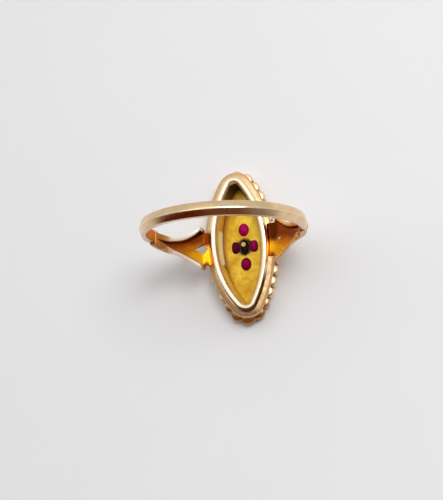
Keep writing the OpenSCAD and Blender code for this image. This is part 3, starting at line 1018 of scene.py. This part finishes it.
def dress(node, material):
    """Gives a node of the frame its finish."""
    slots = frame["nodes"][node].data.materials
    slots.clear()
    slots.append(material)


class RING_OT_plate(Operator):
    """Give the back plate its matte yellow gold, with painted shade round the stones, along its left edge
    and towards its left
    """

    bl_idname = "ring.plate"
    bl_label = "Back plate"

    def execute(self, context):
        scene = context.scene
        finish = scene.ring_gold
        n = new_material("plate_gold")
        patches = n.noise(650, 5, 0.62, 0.3)
        head, axes = scene.ring_head, n.axes()
        # Painted shade: darker towards the left, lighter towards the right.
        patches = n.minus(patches, n.times(axes["X"], 60))
        body = n.mixed(n.ranged(patches, 0.38, 0.66), finish.yellow, finish.yellow_patches_and_shade)
        # Painted shade along the plate's left edge, under the ledge.
        visible = head.rim_half_w - head.rim_w - head.taper + head.off
        bow = n.times(n.times(axes["Y"], axes["Y"]), 0.5 / Outline(head).side_r)
        inwards = n.minus(n.plus(axes["X"], visible), bow)
        inwards = n.plus(inwards, n.times(n.noise(1200), 0.2 * MM))
        body = n.mixed(n.ranged(inwards, 0.65 * MM, 0.25 * MM), body, finish.plate_edge_shade)
        middle = n.distance(from_the_stones(scene, 0, 0, PLATE_HIGH.z))
        ragged = n.plus(middle, n.times(n.noise(2500), 0.5 * MM))
        # Painted shade round the stones.
        body = n.mixed(n.ranged(ragged, 1.5 * MM, 1.15 * MM), body, finish.crevice_shade)
        rough = n.ranged(n.noise(1800, 4), 0.3, 0.7, 0.42, 0.56)
        waves = n.bump(n.noise(380), 0.3, 0.08 * MM)
        grain = n.bump(n.noise(3500, 3, 0.6), 0.25, 0.02 * MM, waves)
        dress("stone_plate", n.shader(body, Metallic=0.75, Roughness=rough, Normal=grain))
        return {"FINISHED"}


class RING_OT_rubies(Operator):
    """Give the four rubies their magenta red, each painted lighter or darker for the light on it"""

    bl_idname = "ring.rubies"
    bl_label = "Rubies"

    def execute(self, context):
        stones = context.scene.ring_stones
        # Each stone's share of the ruby colour is painted light and shade: the top one lit, the left one
        # in shade.
        for node, light in (
            ("ruby_top", 0.85),
            ("ruby_bottom", 0.46),
            ("ruby_left", 0.17),
            ("ruby_right", 0.6),
        ):
            n = new_material(node)
            bright, deep = ([light * c for c in tone] for tone in (stones.ruby, stones.ruby_shade))
            body = n.mixed(n.ranged(n.noise(900), 0.4, 0.8), bright, deep)
            rough = n.ranged(n.noise(2500, 2), 0.3, 0.7, 0.4, 0.55)
            dress(node, n.shader(body, Roughness=rough, Specular_IOR_Level=0.05))
        return {"FINISHED"}


class RING_OT_centre(Operator):
    """Give the centre stone its painted dark body and a painted reflection of gold in its open culet"""

    bl_idname = "ring.centre"
    bl_label = "Centre stone"

    def execute(self, context):
        scene = context.scene
        stones = scene.ring_stones
        n = new_material("centre_diamond")
        lowest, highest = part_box("centre_diamond")
        culet = from_the_stones(scene, -stones.culet_left, stones.culet_up, highest.z)
        # A painted reflection of gold in the open culet.
        culet_reflection = n.ranged(n.distance(culet), stones.culet_r, stones.culet_r * 0.8)
        body = n.mixed(n.ranged(n.noise(1500), 0.4, 0.7), stones.diamond, (0.03, 0.012, 0.005))
        body = n.mixed(culet_reflection, body, stones.culet_reflection)
        rough = n.ranged(culet_reflection, 0, 1, 0.3, 0.5)
        dress("centre_diamond", n.shader(body, Roughness=rough, Specular_IOR_Level=0.15))
        return {"FINISHED"}


# The stage


# Squares along each side of the floor
FLOOR_STEPS = 24


def make_floor(stage):
    """A broad pale floor, level with the surface that the ring rests on."""
    row = FLOOR_STEPS + 1
    across = [stage.floor_half * (2 * i / FLOOR_STEPS - 1) for i in range(row)]
    points = [(x, y, 0) for y in across for x in across]
    starts = [j * row + i for j in range(FLOOR_STEPS) for i in range(FLOOR_STEPS)]
    mesh = bpy.data.meshes.new("floor")
    mesh.from_pydata(points, [], [(k, k + 1, k + row + 1, k + row) for k in starts])
    n = new_material("paper")
    pale = stage.floor
    body = n.mixed(n.noise(60), pale, [0.97 * c for c in pale])
    grain = n.bump(n.noise(3000), 0.05, 0.02 * MM)
    mesh.materials.append(n.shader(body, Roughness=0.9, Normal=grain))
    new_object("floor", mesh)


# Height of the photograph in pixels
PHOTO_HEIGHT = 500


def make_camera(stage):
    """The camera at the photograph's angle: it is turned the other way from the ring's tilt."""
    turn = Euler(stage.tilt).to_matrix().transposed()
    place = turn @ Vector(stage.aim) + Vector((0, 0, FINGER_Z))
    data = bpy.data.cameras.new("camera")
    data.sensor_height = 36
    data.sensor_fit = "VERTICAL"
    data.lens = stage.scale * stage.aim[2] / MM * data.sensor_height / PHOTO_HEIGHT
    data.clip_start, data.clip_end = 0.01, 10
    data.dof.use_dof = False
    camera = new_object("camera", data)
    camera.matrix_world = Matrix.Translation(place) @ turn.to_4x4()
    bpy.context.scene.camera = camera


def make_surround(stage):
    """Even light from all round, a brighter ceiling and the dark room behind the camera."""
    world = bpy.data.worlds.new("studio")
    bpy.context.scene.world = world
    n = Nodes(world, "Generated")
    x, y, z = n.axes()
    overhead = Vector(stage.overhead).normalized()
    dark = n.ranged(y, -0.9, -0.7)
    for value, first, last in ((y, -0.06, -0.2), (x, 1.15, 0.55), (z, -0.05, 0.2)):
        dark = n.times(dark, n.ranged(value, first, last))
    room = n.mixed(n.ranged(x, -0.35, 0.0), stage.dark_left, stage.dark)
    facing = n.worked_out("ShaderNodeVectorMath", "DOT_PRODUCT", n.place, overhead)
    above = n.ranged(facing, math.cos(stage.patch_outer), math.cos(stage.patch_inner))
    tone = n.mixed(n.ranged(y, -0.3, 0.3), stage.shade, stage.surround)
    tone = n.mixed(above, tone, stage.zenith)
    tone = n.mixed(dark, tone, room)
    light = n.made("ShaderNodeBackground", Color=tone)
    n.made("ShaderNodeOutputWorld", Surface=light.outputs["Background"])


def make_lamp(stage):
    """The main lamp, turned towards the middle of the ring."""
    data = bpy.data.lights.new("key", "AREA")
    data.shape = "DISK"
    data.size = stage.key_size
    data.energy = stage.key_power
    lamp = new_object("key", data)
    lamp.location = stage.key_place
    lamp.rotation_mode = "QUATERNION"
    lamp.rotation_quaternion = (lamp.location - Vector((0, 0, 0.01))).to_track_quat("Z", "Y")


class RING_OT_stage(Operator):
    """Make the floor, the camera and the soft light"""

    bl_idname = "ring.stage"
    bl_label = "Stage"

    def execute(self, context):
        scene = context.scene
        stage = scene.ring_stage
        scene.view_settings.view_transform = "Standard"
        make_floor(stage)
        make_camera(stage)
        make_surround(stage)
        make_lamp(stage)
        return {"FINISHED"}


class RING_PT_panel(Panel):
    """The ring's pieces, in the order in which they are made"""

    bl_idname = "RING_PT_panel"
    bl_label = "Navette ring"
    bl_space_type = "VIEW_3D"
    bl_region_type = "UI"
    bl_category = "Ring"

    def draw(self, context):
        for operator in OPERATORS:
            self.layout.operator(operator.bl_idname)


OPERATORS = (
    RING_OT_shank,
    RING_OT_shoulders,
    RING_OT_head,
    RING_OT_border,
    RING_OT_plate,
    RING_OT_rubies,
    RING_OT_centre,
    RING_OT_stage,
)


def register():
    for cls in (*SIZES.values(), *OPERATORS, RING_PT_panel):
        bpy.utils.register_class(cls)
    for name, cls in SIZES.items():
        setattr(bpy.types.Scene, name, PointerProperty(type=cls))


def unregister():
    for name in SIZES:
        delattr(bpy.types.Scene, name)
    for cls in reversed((*SIZES.values(), *OPERATORS, RING_PT_panel)):
        bpy.utils.unregister_class(cls)


def main():
    register()
    for operator in OPERATORS:
        group, name = operator.bl_idname.split(".")
        getattr(getattr(bpy.ops, group), name)()


if __name__ == "__main__":
    main()
